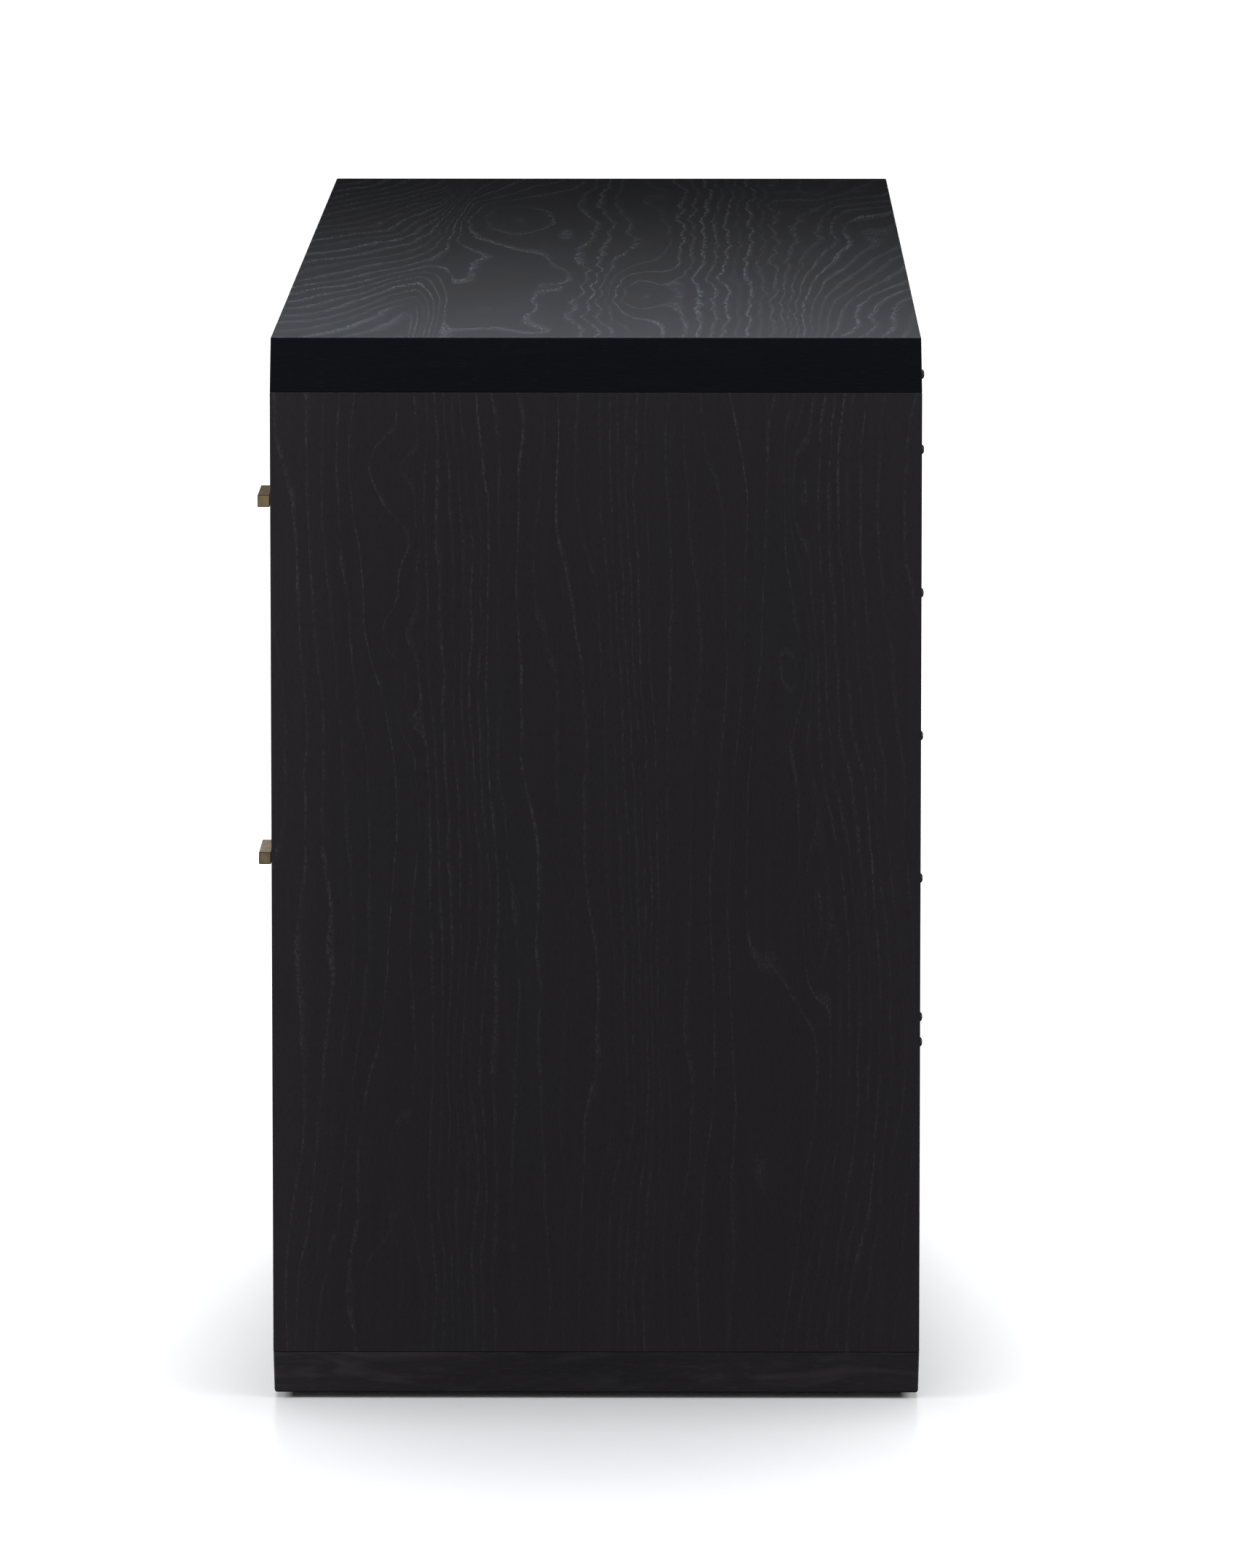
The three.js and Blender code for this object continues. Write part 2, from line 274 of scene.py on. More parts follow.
def black_oak(name, grain, base, pale, figure, painted_edge_light=None, fade_along=None, rough=0.5, specular=0.15):
    """
    Stained open-grained veneer: near black, with dashed grey ring lines. The curve given across the
    board is painted light, of how much paler the colour is made where more light falls, and fade_along one
    along it of the lines' strength.
    """

    def paint(graph):
        across, along = axes_of(graph, grain)
        lines = ring_lines(graph, across, along, figure)
        if fade_along:
            lines = graph.times(lines, graph.curve(along, fade_along))
        pore = pores(graph, across, along)
        seed = figure["seed"]
        cloud = graph.grained(across, along, 14.0, 4.0, 3.0 + seed, detail=4.0)
        speck = graph.grained(across, along, 900.0, 260.0, 1.0, detail=2.0)
        streak = graph.grained(across, along, 210.0, 9.0, seed, detail=3.0)
        warm, cool = shades(base, 1.06, 0.985, 0.99), shades(base, 0.95, 1.01, 1.03)
        ground = graph.tint(graph.span(cloud, 0.38, 0.62), warm, cool)
        streaky = graph.tint(graph.span(streak, 0.3, 0.75, 0.0, 0.35), ground, shades(base, 1.5))
        mottled = graph.tint(graph.span(speck, 0.35, 0.7, 0.0, 0.22), streaky, shades(base, 1.8))
        pored = graph.tint(graph.times(pore, 0.35), mottled, shades(base, 0.55))
        colour = graph.tint(graph.times(lines, graph.blend(pore, 1.0, 0.55)), pored, (*pale, 1.0))
        # Painted light: the colour is made paler across the board where more light falls.
        if painted_edge_light:
            colour = graph.scaled(colour, graph.curve(across, painted_edge_light))
        varied = graph.span(cloud, 0.3, 0.7, rough - 0.015, rough + 0.015)
        roughness = graph.plus(graph.times(lines, 0.1), varied)
        graph.surface(Base_Color=colour, Roughness=roughness, Specular_IOR_Level=specular)
        hollow = graph.plus(graph.times(lines, 0.6), graph.times(pore, 0.3))
        return graph.minus(graph.times(speck, 0.25), hollow), 0.06 * MM

    return material(name, paint)


def black_edge(name, base, pale, smudge, painted_edge_light, rough=0.5, specular=0.15):
    """Blue-black solid wood with short flecks along the grain and soft wiped smudges, made paler across it by
    painted light where more light falls.
    """

    def paint(graph):
        x, y, z = graph.place()
        run = graph.plus(x, y)
        fleck = graph.grained(z, run, 1100.0, 95.0, detail=2.0)
        fleck = graph.span(fleck, 0.56, 0.72)
        streak = graph.grained(z, run, 260.0, 14.0, 2.0, detail=3.0, roughness=0.6)
        cloud = graph.grained(z, run, 70.0, 13.0, 5.0, detail=2.5, distortion=0.8)
        smudged = graph.times(graph.span(cloud, 0.5, 0.72, smooth=True), smudge)
        ground = graph.tint(graph.span(streak, 0.3, 0.7), shades(base, 0.8), shades(base, 1.2))
        dusty = graph.tint(smudged, ground, (*pale, 1.0))
        flecked = graph.tint(graph.times(fleck, 0.4), dusty, (*pale, 1.0))
        # Painted light: the colour is made paler across the board where more light falls.
        colour = graph.scaled(flecked, graph.curve(y, painted_edge_light))
        varied = graph.span(streak, 0.2, 0.8, rough - 0.06, rough + 0.06)
        roughness = graph.plus(varied, graph.times(smudged, 0.1))
        graph.surface(Base_Color=colour, Roughness=roughness, Specular_IOR_Level=specular)
        return graph.minus(graph.times(streak, 0.3), fleck), 0.05 * MM

    return material(name, paint)


def light_wood(name, grain, base, dark):
    """Clear-lacquered light hardwood."""

    def paint(graph):
        across, along = axes_of(graph, grain)
        lines = ring_lines(graph, across, along, LIGHT_FIGURE)
        fibre = graph.grained(across, along, 700.0, 30.0, detail=3.0)
        cloud = graph.grained(across, along, 10.0, 3.0, 1.0, detail=3.0)
        pore = pores(graph, across, along, 0.8)
        ground = graph.tint(graph.span(cloud, 0.3, 0.7), shades(base, 0.9), shades(base, 1.1))
        fibrous = graph.tint(graph.span(fibre, 0.35, 0.75, 0.0, 0.35), ground, (*dark, 1.0))
        ringed = graph.tint(graph.times(lines, 0.75), fibrous, (*dark, 1.0))
        colour = graph.tint(graph.times(pore, 0.3), ringed, shades(dark, 0.6))
        graph.surface(Base_Color=colour, Roughness=graph.span(fibre, 0.2, 0.8, 0.4, 0.52),
                      Coat_Weight=0.15, Coat_Roughness=0.25)
        return graph.minus(graph.times(fibre, 0.3), pore), 0.05 * MM

    return material(name, paint)


PLY_PAIR = 1.2 * MM  # one light and one dark ply
PLY_OFFSET = 0.35 * MM


def plywood_edge(name, base, dark):
    """The stripes of thin plies on a sawn edge."""

    def paint(graph):
        x, y, z = graph.place()
        stripe = graph.math("FRACT", graph.times(graph.plus(z, PLY_OFFSET), 1 / PLY_PAIR))
        grainy = graph.grained(graph.plus(x, y), z, 600.0, 900.0, detail=3.0)
        ply = graph.span(stripe, 0.46, 0.54)
        ground = graph.tint(ply, (*base, 1.0), (*dark, 1.0))
        colour = graph.tint(graph.span(grainy, 0.4, 0.8, 0.0, 0.4), ground, shades(dark, 0.6))
        graph.surface(Base_Color=colour, Roughness=graph.span(grainy, 0.2, 0.8, 0.6, 0.75))
        return grainy, 0.06 * MM

    return material(name, paint)


def painted_board(name, base, pale):
    """The thin back panel: a matt black film over faintly mottled board."""

    def paint(graph):
        x, y, z = graph.place()
        mottle = graph.noise(graph.vector(x, y, z), scale=55.0, detail=4.0)
        fibre = graph.noise(graph.vector(graph.times(x, 420.0), 0.0, graph.times(z, 80.0)), detail=3.0)
        scuff_field = graph.vector(graph.times(x, 3.0), 0.0, graph.times(z, 7.0))
        scuff = graph.noise(scuff_field, detail=5.0, roughness=0.65, distortion=0.6)
        ground = graph.tint(graph.span(mottle, 0.35, 0.65), shades(base, 0.88), shades(base, 1.12))
        worn = graph.tint(graph.span(scuff, 0.55, 0.8, 0.0, 0.3), ground, (*pale, 1.0))
        colour = graph.tint(graph.span(fibre, 0.55, 0.8, 0.0, 0.3), worn, (*pale, 1.0))
        graph.surface(Base_Color=colour, Roughness=graph.span(scuff, 0.3, 0.7, 0.6, 0.72),
                      Specular_IOR_Level=0.3)
        return graph.plus(graph.times(fibre, 0.5), mottle), 0.06 * MM

    return material(name, paint)


def aged_brass(name, along):
    """Brushed brass gone brown in places, with fine dark specks."""

    def paint(graph):
        x, y, z = graph.place()
        lengthwise, crosswise = 14.0, 900.0
        rates = [lengthwise if axis == along else crosswise for axis in "xyz"]
        brush_field = graph.vector(*map(graph.times, (x, y, z), rates))
        brush = graph.noise(brush_field, detail=3.0, roughness=0.7)
        patina = graph.noise(graph.vector(x, y, z), scale=160.0, detail=4.0, roughness=0.6)
        speck = graph.cells(graph.vector(x, y, z), scale=900.0)
        dark, bright = (0.30, 0.235, 0.135, 1.0), (0.37, 0.29, 0.175, 1.0)
        metal = graph.tint(graph.span(brush, 0.3, 0.7), dark, bright)
        brown = graph.tint(graph.span(patina, 0.42, 0.66, 0.0, 0.6), metal, (0.20, 0.148, 0.088, 1.0))
        colour = graph.tint(graph.span(speck, 0.0, 0.25, 0.45, 0.0), brown, (0.07, 0.05, 0.035, 1.0))
        dulled = graph.span(patina, 0.4, 0.7, 0.0, 0.12)
        roughness = graph.plus(graph.span(brush, 0.2, 0.8, 0.34, 0.46), dulled)
        graph.surface(Base_Color=colour, Metallic=0.85, Roughness=roughness,
                      Specular_Tint=(0.86, 0.68, 0.58, 1.0))
        return graph.plus(graph.times(brush, 0.3), graph.times(patina, 0.4)), 0.01 * MM

    return material(name, paint)


def painted_arris_shade(name):
    """The near-black brown on the rounded edges of the brass: painted shade and a painted reflection of the
    dark wood, faintly mottled.
    """

    def paint(graph):
        shade_mottle = graph.noise(graph.vector(*graph.place()), scale=420.0, detail=3.0)
        dark, brown = (0.016, 0.012, 0.008, 1.0), (0.040, 0.031, 0.020, 1.0)
        colour = graph.tint(graph.span(shade_mottle, 0.35, 0.65), dark, brown)
        graph.surface(Base_Color=colour, Specular_IOR_Level=0.2,
                      Roughness=graph.span(shade_mottle, 0.3, 0.7, 0.48, 0.62))
        return shade_mottle, 0.02 * MM

    return material(name, paint)


def plated_steel(name, base, rough):
    """Zinc-plated steel with a faint crystalline bloom."""

    def paint(graph):
        x, y, z = graph.place()
        bloom = graph.cells(graph.vector(x, graph.times(y, 0.4), z), scale=260.0)
        draw_field = graph.vector(graph.times(x, 1500.0), graph.times(y, 25.0), graph.times(z, 1500.0))
        draw = graph.noise(draw_field, detail=3.0)
        ground = graph.tint(graph.span(bloom, 0.1, 0.7), shades(base, 0.85), shades(base, 1.12))
        colour = graph.tint(graph.span(draw, 0.5, 0.8, 0.0, 0.4), ground, shades(base, 0.6))
        varied = graph.span(bloom, 0.0, 0.8, rough - 0.05, rough + 0.08)
        roughness = graph.plus(varied, graph.times(draw, 0.08))
        graph.surface(Base_Color=colour, Metallic=1.0, Roughness=roughness)
        return draw, 0.01 * MM

    return material(name, paint)


def black_nylon(name):
    """Moulded black nylon with a fine spark-eroded texture."""

    def paint(graph):
        spot = graph.vector(*graph.place())
        grain = graph.cells(spot, scale=2200.0)
        dust = graph.noise(spot, scale=240.0, detail=4.0)
        black, dusty = (0.012, 0.012, 0.012, 1.0), (0.05, 0.048, 0.045, 1.0)
        colour = graph.tint(graph.span(dust, 0.5, 0.8, 0.0, 0.5), black, dusty)
        graph.surface(Base_Color=colour, Roughness=graph.span(grain, 0.0, 0.6, 0.5, 0.65))
        return grain, 0.03 * MM

    return material(name, paint)


PANEL_BLACK = (0.0128, 0.0113, 0.0131)
PANEL_LINE = (0.054, 0.054, 0.061)
FRONT_LINE = (0.085, 0.085, 0.094)
TOP_BLACK = (0.0135, 0.0131, 0.0134)
TOP_LINE = (0.060, 0.064, 0.067)
INSIDE_BLACK = (0.012, 0.011, 0.012)
INSIDE_LINE = (0.036, 0.035, 0.037)
BASE_BLACK = (0.0125, 0.0113, 0.0135)
BASE_PALE = (0.034, 0.032, 0.036)
EDGE_BLACK = (0.0014, 0.0023, 0.0042)
EDGE_PALE = (0.0085, 0.0095, 0.0115)
OAK_LIGHT = (0.50, 0.335, 0.19)
OAK_DARK = (0.29, 0.17, 0.085)

# Each figure gives its ring density across the board, as places (m) and rings per metre, then how
# far and how fast the lines sway, shiver and swirl, and how wide and how broken they are. An island
# is (place across, place along, half width, half length, rings high). A side panel's places run
# from its front to its rear, and the top's run the same way.
FINELY_BROKEN = {"solid": 0.25, "dash_rate": 70.0, "grit_across": 850.0, "grit_along": 420.0}
PANEL_FIGURE = {
    **FINELY_BROKEN,
    "density": [
        (-0.26, 30), (-0.222, 34), (-0.208, 85), (-0.172, 95), (-0.160, 26), (-0.132, 22), (-0.120, 140),
        (-0.070, 150), (-0.060, 62), (0.008, 62), (0.018, 150), (0.045, 160), (0.056, 55), (0.10, 55),
        (0.115, 30), (0.165, 34), (0.180, 130), (0.218, 165), (0.228, 70), (0.28, 60),
    ],
    "sway": 0.085, "sway_rate": 1.7, "shiver": 0.017,
    "swirl": 4.2, "swirl_across": 13.0, "swirl_along": 3.4,
    "islands": [
        (0.180, 0.682, 0.009, 0.045, 2.4), (0.168, 0.360, 0.010, 0.055, 2.6),
        (-0.133, 0.700, 0.018, 0.016, 0.7), (-0.131, 0.645, 0.018, 0.014, -0.7),
        (-0.136, 0.575, 0.020, 0.018, 0.8), (-0.130, 0.510, 0.009, 0.016, 1.0),
        (0.170, 0.545, 0.016, 0.030, -1.3), (-0.150, 0.080, 0.014, 0.030, 1.3),
    ],
    "island_width": 0.05, "width": 0.0017, "seed": 1.3,
}
LEFT_FIGURE = {
    **PANEL_FIGURE,
    "islands": [(-0.04, 0.30, 0.010, 0.050, 2.4), (0.135, 0.62, 0.012, 0.040, 2.0)],
    "seed": 5.2,
}
TOP_FIGURE = {
    "density": [
        (-0.26, 34), (-0.12, 38), (-0.10, 24), (-0.02, 28), (-0.005, 95), (0.02, 90), (0.03, 28),
        (0.06, 32), (0.075, 105), (0.155, 105), (0.17, 62), (0.28, 50),
    ],
    "slant": [(-0.26, 15.0), (-0.13, 13.0), (-0.105, 3.0), (0.0, 0.5), (0.15, 0.5), (0.19, 7.0), (0.28, 9.0)],
    "slant_width": 0.018,
    "islands": [
        (0.040, 0.42, 0.026, 0.22, 2.6), (-0.075, -0.35, 0.055, 0.34, 4.2),
        (-0.126, 0.52, 0.030, 0.20, 2.0), (0.215, -0.25, 0.030, 0.20, 1.8),
    ],
    "island_width": 0.026,
    "sway": 0.030, "sway_rate": 3.0, "shiver": 0.014,
    "swirl": 3.0, "swirl_across": 11.0, "swirl_along": 2.6,
    "width": 0.0026, "solid": 0.55,
    "dash_rate": 22.0, "grit_across": 600.0, "grit_along": 70.0, "seed": 4.1,
}
FRONT_FIGURE = {
    **FINELY_BROKEN,
    "density": [
        (-0.30, 60), (0.0, 60), (0.08, 110), (0.16, 50), (0.24, 14), (0.33, 16), (0.40, 60),
        (0.46, 130), (0.53, 70), (0.59, 18), (0.66, 22), (0.72, 120), (0.80, 60), (1.10, 60),
    ],
    "sway": 0.05, "sway_rate": 1.1, "shiver": 0.007, "swirl": 4.5, "swirl_across": 7.0, "swirl_along": 1.3,
    "width": 0.0018, "seed": 7.7,
}
LIGHT_FIGURE = {
    "density": [
        (-0.90, 110), (-0.3, 70), (0.0, 130), (0.25, 60), (0.5, 120), (0.8, 80), (1.6, 120),
    ],
    "sway": 0.03, "sway_rate": 1.4, "shiver": 0.004,
    "swirl": 3.0, "swirl_across": 9.0, "swirl_along": 1.6,
    "width": 0.0030, "solid": 0.7,
    "dash_rate": 60.0, "grit_across": 850.0, "grit_along": 200.0, "seed": 2.9,
}

# How much paler the colour is made from the front edge of the end to the rear, as (place, factor): painted
# light, paler where more light falls, most near the front edge.
PANEL_PAINTED_LIGHT = [
    (-0.26, 1.42), (-0.218, 1.38), (-0.17, 1.1), (-0.10, 1.0), (0.17, 1.0), (0.235, 1.12), (0.28, 1.16),
]
BASE_PAINTED_LIGHT = [
    (-0.26, 1.75), (-0.215, 1.55), (-0.17, 1.22), (-0.09, 1.0), (0.0, 0.86), (0.1, 1.0), (0.26, 1.2),
]
BAND_PAINTED_LIGHT = [(-0.26, 1.7), (-0.215, 1.35), (-0.15, 1.1), (0.0, 1.0), (0.26, 1.05)]

# How strong the figure is along the board, from the foot up and from the left end to the right.
PANEL_FADE = [(-0.1, 0.45), (0.05, 0.5), (0.35, 0.8), (0.6, 1.0), (0.9, 1.0)]
TOP_FADE = [(-0.8, 0.75), (-0.4, 1.0), (0.0, 1.0), (0.8, 0.95)]

FINISH = {
    "panel": black_oak("panel_oak", "z", PANEL_BLACK, PANEL_LINE, PANEL_FIGURE,
                       painted_edge_light=PANEL_PAINTED_LIGHT, fade_along=PANEL_FADE),
    "panel_left": black_oak("panel_oak_left", "z", PANEL_BLACK, PANEL_LINE, LEFT_FIGURE, painted_edge_light=PANEL_PAINTED_LIGHT),
    "front": black_oak("front_oak", "x", PANEL_BLACK, FRONT_LINE, FRONT_FIGURE),
    "top": black_oak("top_oak", "top", TOP_BLACK, TOP_LINE, TOP_FIGURE,
                     fade_along=TOP_FADE, rough=0.52, specular=0.16),
    "inside": black_oak("inside_oak", "x", INSIDE_BLACK, INSIDE_LINE, FRONT_FIGURE),
    "edge": black_edge("slab_edge", EDGE_BLACK, EDGE_PALE, 0.12, BAND_PAINTED_LIGHT, specular=0.08),
    "base": black_edge("base_edge", BASE_BLACK, BASE_PALE, 0.6, BASE_PAINTED_LIGHT),
    "back": painted_board("back_board", (0.016, 0.0155, 0.0155), (0.042, 0.040, 0.038)),
    "box_y": light_wood("drawer_oak_y", "y", OAK_LIGHT, OAK_DARK),
    "box_x": light_wood("drawer_oak_x", "x", OAK_LIGHT, OAK_DARK),
    "ply": plywood_edge("ply_edge", (0.48, 0.34, 0.20), (0.25, 0.15, 0.08)),
    "bar": aged_brass("brass_bar", "x"),
    "post": aged_brass("brass_post", "y"),
    # The pull bar's rounded edges, darkened as painted shade and reflection.
    "arris": painted_arris_shade("brass_arris_painted_shade"),
    "steel": plated_steel("zinc_steel", (0.52, 0.54, 0.56), 0.34),
    "black_steel": plated_steel("black_screws", (0.045, 0.045, 0.047), 0.42),
    "ball": plated_steel("bright_balls", (0.72, 0.73, 0.75), 0.16),
    "nylon": black_nylon("black_nylon"),
}


# ---- mesh tools

def mesh_from(builder, name):
    """The mesh that builder(bm) draws."""
    mesh = bpy.data.meshes.new(name)
    bm = bmesh.new()
    builder(bm)
    bmesh.ops.recalc_face_normals(bm, faces=bm.faces)
    bm.to_mesh(mesh)
    bm.free()
    return mesh


def added(name, data):
    """A new object in the scene."""
    made = bpy.data.objects.new(name, data)
    scene.collection.objects.link(made)
    return made


def shown(name, builder, finishes, body, nodes=()):
    """Puts what builder(bm) draws in the scene as a piece that rides on a body."""
    mesh = mesh_from(builder, name)
    for finish in finishes:
        mesh.materials.append(FINISH[finish])
    piece = added(name, mesh)
    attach(piece, body)
    if nodes:
        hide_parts(*nodes)
    return piece


def round_edges(piece, width, segments=3, by_weight=False):
    """Rounds a piece's edges, keeping its flat faces flat."""
    for face in piece.data.polygons:
        face.use_smooth = True
    bevel = piece.modifiers.new("edges", "BEVEL")
    bevel.width = width
    bevel.segments = segments
    bevel.limit_method = "WEIGHT" if by_weight else "ANGLE"
    bevel.angle_limit = math.radians(28)
    bevel.harden_normals = True
    return piece


def add_loft(bm, start_points, end_points):
    """A closed solid between two outlines with the same number of points."""
    start = [bm.verts.new(p) for p in start_points]
    end = [bm.verts.new(p) for p in end_points]
    bm.faces.new(start)
    bm.faces.new(end)
    for i in range(len(start)):
        j = (i + 1) % len(start)
        bm.faces.new((start[i], start[j], end[j], end[i]))


def add_prism(bm, outline, low, high, axis):
    """A closed prism: a 2-D outline swept along x, y or z from low to high."""
    def corners(w):
        return [{"x": (w, u, v), "y": (u, w, v), "z": (u, v, w)}[axis] for u, v in outline]

    add_loft(bm, corners(low), corners(high))


def add_box(bm, low, high):
    """A rectangular block."""
    outline = [(low[0], low[1]), (high[0], low[1]), (high[0], high[1]), (low[0], high[1])]
    add_prism(bm, outline, low[2], high[2], "z")


ON_AXIS = 0.001 * MM  # a turned point with a radius under this is drawn as one corner


def add_lathe(bm, profile, centre, axis, steps):
    """A turned solid: (radius, height) points round an axis through centre, heights along it."""
    turn = Vector((0, 0, 1)).rotation_difference(Vector(axis)).to_matrix()
    rings = []
    for radius, height in profile:
        if radius < ON_AXIS:
            rings.append([bm.verts.new(Vector(centre) + turn @ Vector((0, 0, height)))])
            continue
        ring = []
        for i in range(steps):
            angle = 2 * math.pi * i / steps
            spot = Vector((radius * math.cos(angle), radius * math.sin(angle), height))
            ring.append(bm.verts.new(Vector(centre) + turn @ spot))
        rings.append(ring)
    for below, above in zip(rings, rings[1:]):
        for i in range(steps):
            j = (i + 1) % steps
            if len(below) == 1 and len(above) > 1:
                bm.faces.new((below[0], above[i], above[j]))
            elif len(above) == 1 and len(below) > 1:
                bm.faces.new((below[i], below[j], above[0]))
            elif len(below) > 1:
                bm.faces.new((below[i], below[j], above[j], above[i]))


def quarter_turn(steps):
    """(cosine, sine) at even steps of a quarter turn, from the first step to the end."""
    angles = [math.pi / 2 * step / steps for step in range(1, steps + 1)]
    return [(math.cos(angle), math.sin(angle)) for angle in angles]


def smooth(piece, angle=35):
    """Smooth shading with creases left sharp."""
    for face in piece.data.polygons:
        face.use_smooth = True
    piece.data.set_sharp_from_angle(angle=math.radians(angle))
    return piece


# ---- the casework

def board(name, node, finishes, body, width, face_finish=None, solid=add_box, weights=None):
    """
    A board in place of its CAD node, with rounded edges. face_finish(normal) picks which of the
    finishes a face takes, solid(bm, low, high) draws it, and weights(middle, low, high) sets how
    much of the full width an edge is rounded by.
    """
    low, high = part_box(node)

    def build(bm):
        solid(bm, low, high)
        bmesh.ops.recalc_face_normals(bm, faces=bm.faces)
        if face_finish:
            for face in bm.faces:
                face.material_index = face_finish(face.normal)
        if weights:
            layer = bm.edges.layers.float.new("bevel_weight_edge")
            for edge in bm.edges:
                middle = (edge.verts[0].co + edge.verts[1].co) / 2
                edge[layer] = weights(middle, low, high)

    piece = shown(name, build, finishes, body, (node,))
    return round_edges(piece, width, by_weight=weights is not None)


BACK_LOW, BACK_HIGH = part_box("back_panel")
RABBET_PLAY = 0.5 * MM
RABBET_X = BACK_HIGH.x + RABBET_PLAY
RABBET_Y = BACK_LOW.y
LEAN = 0.8 * MM  # how much narrower a slab is at its outer face than at the one towards the bays
TOP_ROUND = 1.2 * MM
BASE_ROUND = 2.0 * MM
CASE_ROUND = 0.6 * MM
FRONT_ROUND = 0.8 * MM
BOX_ROUND = 0.35 * MM
PLY_ROUND = 0.2 * MM
STEEL_ROUND = 0.2 * MM
BAR_ROUND = 0.6 * MM
POCKET_SHARE = 0.1  # of a slab's rounding, on the edges of its pocket
FACING = 0.5  # a face points along an axis when its normal reaches further than this


def add_slab(bm, low, high, bay_z, outer_z, rabbet_z):
    """A slab that leans in towards its outer face, with a pocket at its rear for the back panel."""
    def ring(x_low, x_high, y_first, y_last, z):
        spots = ((x_low, y_first), (x_high, y_first), (x_high, y_last), (x_low, y_last))
        return [bm.verts.new((x, y, z)) for x, y in spots]

    deep_rear = high.y - LEAN * (rabbet_z - bay_z) / (outer_z - bay_z)
    bay = ring(low.x, high.x, low.y, high.y, bay_z)
    outer = ring(low.x + LEAN, high.x - LEAN, low.y + LEAN, high.y - LEAN, outer_z)
    mouth = ring(-RABBET_X, RABBET_X, high.y, RABBET_Y, bay_z)
    deep = ring(-RABBET_X, RABBET_X, deep_rear, RABBET_Y, rabbet_z)
    bm.faces.new((bay[0], bay[1], bay[2], mouth[1], mouth[2], mouth[3], mouth[0], bay[3]))
    bm.faces.new((bay[2], mouth[1], deep[1], deep[0], mouth[0], bay[3], outer[3], outer[2]))
    bm.faces.new(outer)
    bm.faces.new(deep)
    for i, j in ((0, 1), (1, 2), (3, 0)):
        bm.faces.new((bay[i], bay[j], outer[j], outer[i]))
    for i, j in ((1, 2), (2, 3), (3, 0)):
        bm.faces.new((mouth[i], mouth[j], deep[j], deep[i]))


def top_solid(bm, low, high):
    add_slab(bm, low, high, low.z, high.z, BACK_HIGH.z + RABBET_PLAY)


def base_solid(bm, low, high):
    add_slab(bm, low, high, high.z, low.z, BACK_LOW.z - RABBET_PLAY)


def side_solid(bm, low, high):
    """A side panel with a rabbet down its rear inner edge."""
    outer, inner = (high.x, low.x) if low.x > 0 else (low.x, high.x)
    step = RABBET_X if low.x > 0 else -RABBET_X
    outline = [(inner, low.y), (outer, low.y), (outer, high.y)]
    outline += [(step, high.y), (step, RABBET_Y), (inner, RABBET_Y)]
    add_prism(bm, outline, low.z, high.z, "z")


def in_pocket(middle, outer_z):
    return abs(middle.x) < RABBET_X + MM and middle.y > RABBET_Y - MM and abs(middle.z - outer_z) > MM


def base_edges(middle, low, high):
    """Edges on the foot of the base are rounded in full, and those on the joint above barely."""
    if in_pocket(middle, low.z):
        return POCKET_SHARE
    return 1.0 if middle.z < high.z - 2 * MM else 0.3


def top_edges(middle, low, high):
    """Edges on the top face are rounded in full, and those on the joint below by about half."""
    if in_pocket(middle, high.z):
        return POCKET_SHARE
    return 1.0 if middle.z > low.z + 2 * MM else 0.45


def second_if_up(normal):
    return 1 if normal.z > FACING else 0


def first_facing(axis):
    """Gives a board's first finish to the faces square to an axis, and its second to the rest."""
    return lambda normal: 0 if abs(normal["xyz".index(axis)]) > FACING else 1


def make_case():
    """The slabs, side panels, divider, rails and back panel."""
    board("top_slab_oak", "top_slab", ("edge", "top"), "case", TOP_ROUND,
          face_finish=second_if_up, solid=top_solid, weights=top_edges)
    board("base_slab_oak", "base_slab", ("base",), "case", BASE_ROUND,
          solid=base_solid, weights=base_edges)
    for end in ENDS:
        veneer = "panel" if end == "right" else "panel_left"
        board(f"{end}_side_panel_oak", f"{end}_side_panel", (veneer, "edge"), "case",
              CASE_ROUND, face_finish=first_facing("x"), solid=side_solid)
    board("centre_divider_oak", "centre_divider", ("panel_left", "edge"), "case",
          CASE_ROUND, face_finish=first_facing("x"))
    for end in ENDS:
        board(f"{end}_rail_oak", f"{end}_rail", ("inside",), "case", CASE_ROUND)
    board("back_board", "back_panel", ("back",), "case", CASE_ROUND)


make_case()


# ---- screws

def screw_head(name, radius, height, recess):
    """A pan head with a cross recess, standing on the plane z = 0."""
    def head(bm):
        rim = 0.28 * height
        profile = [(0.0, 0.0), (radius, 0.0), (radius, rim)]
        profile += [(radius * c, rim + (height - rim) * s) for c, s in quarter_turn(6)]
        add_lathe(bm, profile, (0, 0, 0), (0, 0, 1), steps=28)

    def cross(bm):
        arm = 0.52 * radius
        web = 0.13 * radius
        outline = []
        for turn in range(4):
            c, s = math.cos(math.pi / 2 * turn), math.sin(math.pi / 2 * turn)
            for u, v in ((web, web), (arm, web), (arm, -web)):
                outline.append((u * c + v * s, v * c - u * s))
        outline.sort(key=lambda p: math.atan2(p[1], p[0]))
        tip = [(u * 0.45, v * 0.45, height - recess) for u, v in outline]
        mouth = [(u * 1.5, v * 1.5, height * 1.5) for u, v in outline]
        add_loft(bm, tip, mouth)

    body = added(name, mesh_from(head, name))
    tool = added(name + "_tool", mesh_from(cross, name + "_tool"))
    cut = body.modifiers.new("cut", "BOOLEAN")
    cut.object = tool
    cut.operation = "DIFFERENCE"
    cut.solver = "EXACT"
    bpy.context.view_layer.update()
    mesh = bpy.data.meshes.new_from_object(body.evaluated_get(bpy.context.evaluated_depsgraph_get()))
    for piece in (body, tool):
        bpy.data.objects.remove(piece)
    return mesh


